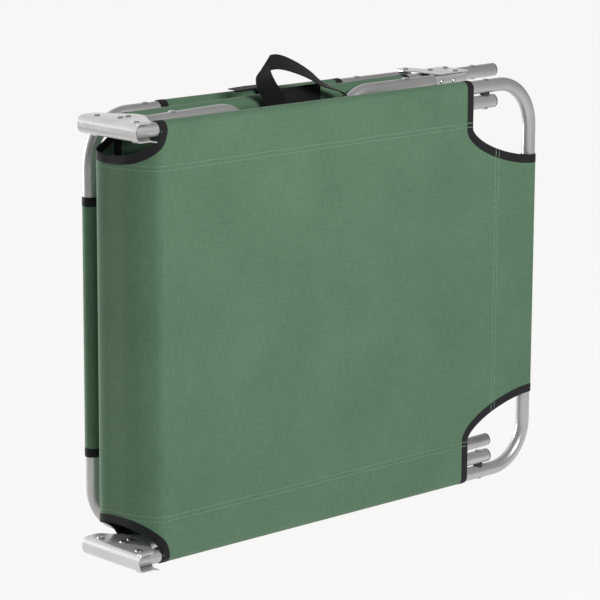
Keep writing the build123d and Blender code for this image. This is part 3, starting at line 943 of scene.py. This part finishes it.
def build_cloth():
    """The three covers and the three pieces that bend between them."""
    covers = (
        ("front", FRONT, FRONT_SLEEVE[0], FLAT_START, FRONT_SLEEVE[1], "front_frame"),
        ("middle", MIDDLE, MIDDLE_SLEEVE[0], *MIDDLE_SLEEVE, "middle_rails"),
        ("rear", REAR, REAR_ENDS[0], *REAR_ENDS, "rear_frame"),
    )
    for name, section, start, panel_start, end, rests_on in covers:
        piece, flat, faces = build_cover(name + "_cover", section, start, panel_start, end)
        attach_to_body(piece, name + "_section")
        declare_sheet(piece, flat, faces, rests_on)
        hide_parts(name + "_fabric")
    for name, _, bridge, start, end, attach, rests_on in STRIPS:
        piece, flat, faces = build_bridge(name, bridge, start, end)
        attach(piece)
        declare_sheet(piece, flat, faces, rests_on)
        if name == "hinge_strip_front":
            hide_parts("hinge_fabric")


def build_trim():
    """The tape and the stitches of every cloth piece."""
    tapes = (
        ("front", end_section_tape(FRONT, FRONT_SLEEVE[0], FLAT_START, FRONT_SLEEVE[1])),
        ("middle", middle_tape()),
        ("rear", end_section_tape(REAR, REAR_ENDS[0], *REAR_ENDS)),
    )
    for name, mesh in tapes:
        piece = finish_piece(name + "_tape", mesh, TAPE_MAT)
        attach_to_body(piece, name + "_section")
        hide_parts(name + "_binding")
    for _, name, bridge, start, end, attach, _ in STRIPS:
        tape, stitches = bridge_tape(bridge, start, end), bridge_stitches(bridge, start, end)
        attach(finish_piece(name + "_tape", tape, TAPE_MAT))
        attach(finish_piece(name + "_stitches", stitches, THREAD_MAT))
    for name, section, start, end in (
            ("front", FRONT, FLAT_START, FRONT_SLEEVE[1]),
            ("middle", MIDDLE, *MIDDLE_SLEEVE),
            ("rear", REAR, *REAR_ENDS)):
        stitches = section_stitches(section, start, end)
        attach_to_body(finish_piece(name + "_stitches", stitches, THREAD_MAT), name + "_section")


def build_webbing():
    handle = empty_mesh()
    ribbon_grid(handle, HANDLE)
    piece = finish_piece("handle_webbing", handle, WEB_MAT, thickness=1.3 * MM)
    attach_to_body(piece, "middle_section")
    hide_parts("carry_handle")
    strap = empty_mesh()
    for stations in strap_stations():
        ribbon_grid(strap, stations)
    piece = finish_piece("strap_webbing", strap, WEB_MAT, thickness=1.2 * MM)
    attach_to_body(piece, "middle_section")
    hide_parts("closing_strap")


def dress_frame():
    """The CAD parts that stay visible get the finished materials."""
    finishes = {"silver_tube": TUBE_MAT, "bracket_steel": BRACKET_MAT, "rivet_steel": RIVET_MAT,
                "black_plastic": PLASTIC_MAT, "green_fabric": CLOTH_MAT, "black_tape": TAPE_MAT,
                "black_webbing": WEB_MAT}
    for node in frame["nodes"].values():
        for slot in node.material_slots:
            name = slot.material.name.split(".")[0]
            if name in finishes:
                slot.material = finishes[name]


# ---------------------------------------------------------------- stage and camera
CAMERA_AZIMUTH = -43.09            # degrees
CAMERA_ELEVATION = 12.16
CAMERA_ROLL = 0.28
CAMERA_DISTANCE = 3.6884
CAMERA_TARGET = (-0.0212, 0.0120, 0.2788)
CAMERA_LENS = 169.7                # mm, for a 36 mm sensor
FLOOR_SIZE = 80                    # metres
FLOOR_COLOUR = (0.930, 0.921, 0.905, 1)
SIDE_GLOW = 0.5                    # strength of the floor's light away from the camera's view
VIEW_SPREAD = (0.115, 0.42)        # offset over distance where the glow begins and ends its fade


def area_light(name, place, target, size, power):
    data = bpy.data.lights.new(name, "AREA")
    data.size = size
    data.energy = power
    lamp = bpy.data.objects.new(name, data)
    lamp.location = place
    lamp.rotation_mode = "QUATERNION"
    lamp.rotation_quaternion = (Vector(place) - Vector(target)).to_track_quat("Z", "Y")
    bpy.context.scene.collection.objects.link(lamp)


def distance_along(nodes, links, coordinates, direction):
    """How far each point lies along a direction."""
    dot = nodes.new("ShaderNodeVectorMath")
    dot.operation = "DOT_PRODUCT"
    dot.inputs[1].default_value = direction
    links.new(coordinates, dot.inputs[0])
    return dot.outputs["Value"]


def build_world():
    """Pale surroundings that are brighter towards the back."""
    world = bpy.data.worlds.new("studio")
    bpy.context.scene.world = world
    world.use_nodes = True
    nodes, links = world.node_tree.nodes, world.node_tree.links
    directions = nodes.new("ShaderNodeTexCoord").outputs["Generated"]
    towards_back = distance_along(nodes, links, directions, Vector((-0.15, 0.99, 0.0)).normalized())
    share = maths(nodes, links, "ADD", maths(nodes, links, "MULTIPLY", towards_back, 0.5), 0.5)
    colour = ramp(nodes, links, share, [(0.0, grey(0.16)), (0.6, grey(0.22)), (0.95, grey(1.2))])
    links.new(colour, nodes["Background"].inputs["Color"])


def floor_glow(nodes, links):
    """Full strength where the camera looks, fading out to both sides of its view."""
    where = object_coordinates(nodes)
    azimuth = math.radians(CAMERA_AZIMUTH)
    across = distance_along(nodes, links, where, (math.cos(azimuth), math.sin(azimuth), 0))
    away = distance_along(nodes, links, where, (-math.sin(azimuth), math.cos(azimuth), 0))
    offset = maths(nodes, links, "ABSOLUTE", across, 0)
    from_camera = maths(nodes, links, "MAXIMUM", maths(nodes, links, "ADD", away, CAMERA_DISTANCE), 0.5)
    fade = add_node(nodes, "ShaderNodeMapRange", From_Min=VIEW_SPREAD[0], From_Max=VIEW_SPREAD[1],
                    To_Min=1.0, To_Max=SIDE_GLOW)
    fade.interpolation_type = "SMOOTHSTEP"
    links.new(maths(nodes, links, "DIVIDE", offset, from_camera), fade.inputs["Value"])
    return fade.outputs["Result"]


def build_stage():
    """A bright studio: an even floor to the horizon, pale surroundings and soft lights."""
    bpy.ops.mesh.primitive_plane_add(size=FLOOR_SIZE, location=(0, 0, FLOOR_Z))
    floor = bpy.context.object
    floor.name = "floor"
    material, nodes, links, shader = new_material("pale_floor")
    set_inputs(shader, Base_Color=(*grey(0.02), 1), Roughness=1.0, Specular_IOR_Level=0.0,
               Emission_Color=FLOOR_COLOUR)
    links.new(floor_glow(nodes, links), shader.inputs["Emission Strength"])
    floor.data.materials.append(material)
    build_world()
    area_light("key", place=(-0.12, -1.6, 1.2), target=(-0.05, 0, 0.34), size=0.6, power=27)
    area_light("back_light", place=(-1.0, 2.8, 0.5), target=(-0.3, 0, 0.3), size=1.0, power=75)
    bpy.context.scene.view_settings.view_transform = "Standard"


def build_camera():
    azimuth, elevation = math.radians(CAMERA_AZIMUTH), math.radians(CAMERA_ELEVATION)
    roll = math.radians(CAMERA_ROLL)
    back = Vector((math.sin(azimuth) * math.cos(elevation), -math.cos(azimuth) * math.cos(elevation),
                   math.sin(elevation)))
    data = bpy.data.cameras.new("camera")
    data.lens = CAMERA_LENS
    data.sensor_width = 36
    data.clip_start = 0.1
    data.clip_end = 200
    camera = bpy.data.objects.new("camera", data)
    camera.location = Vector(CAMERA_TARGET) + back * CAMERA_DISTANCE
    camera.rotation_mode = "QUATERNION"
    camera.rotation_quaternion = back.to_track_quat("Z", "Y") @ Quaternion((0, 0, 1), roll)
    bpy.context.scene.collection.objects.link(camera)
    bpy.context.scene.camera = camera


build_cloth()
build_trim()
build_webbing()
dress_frame()
build_stage()
build_camera()
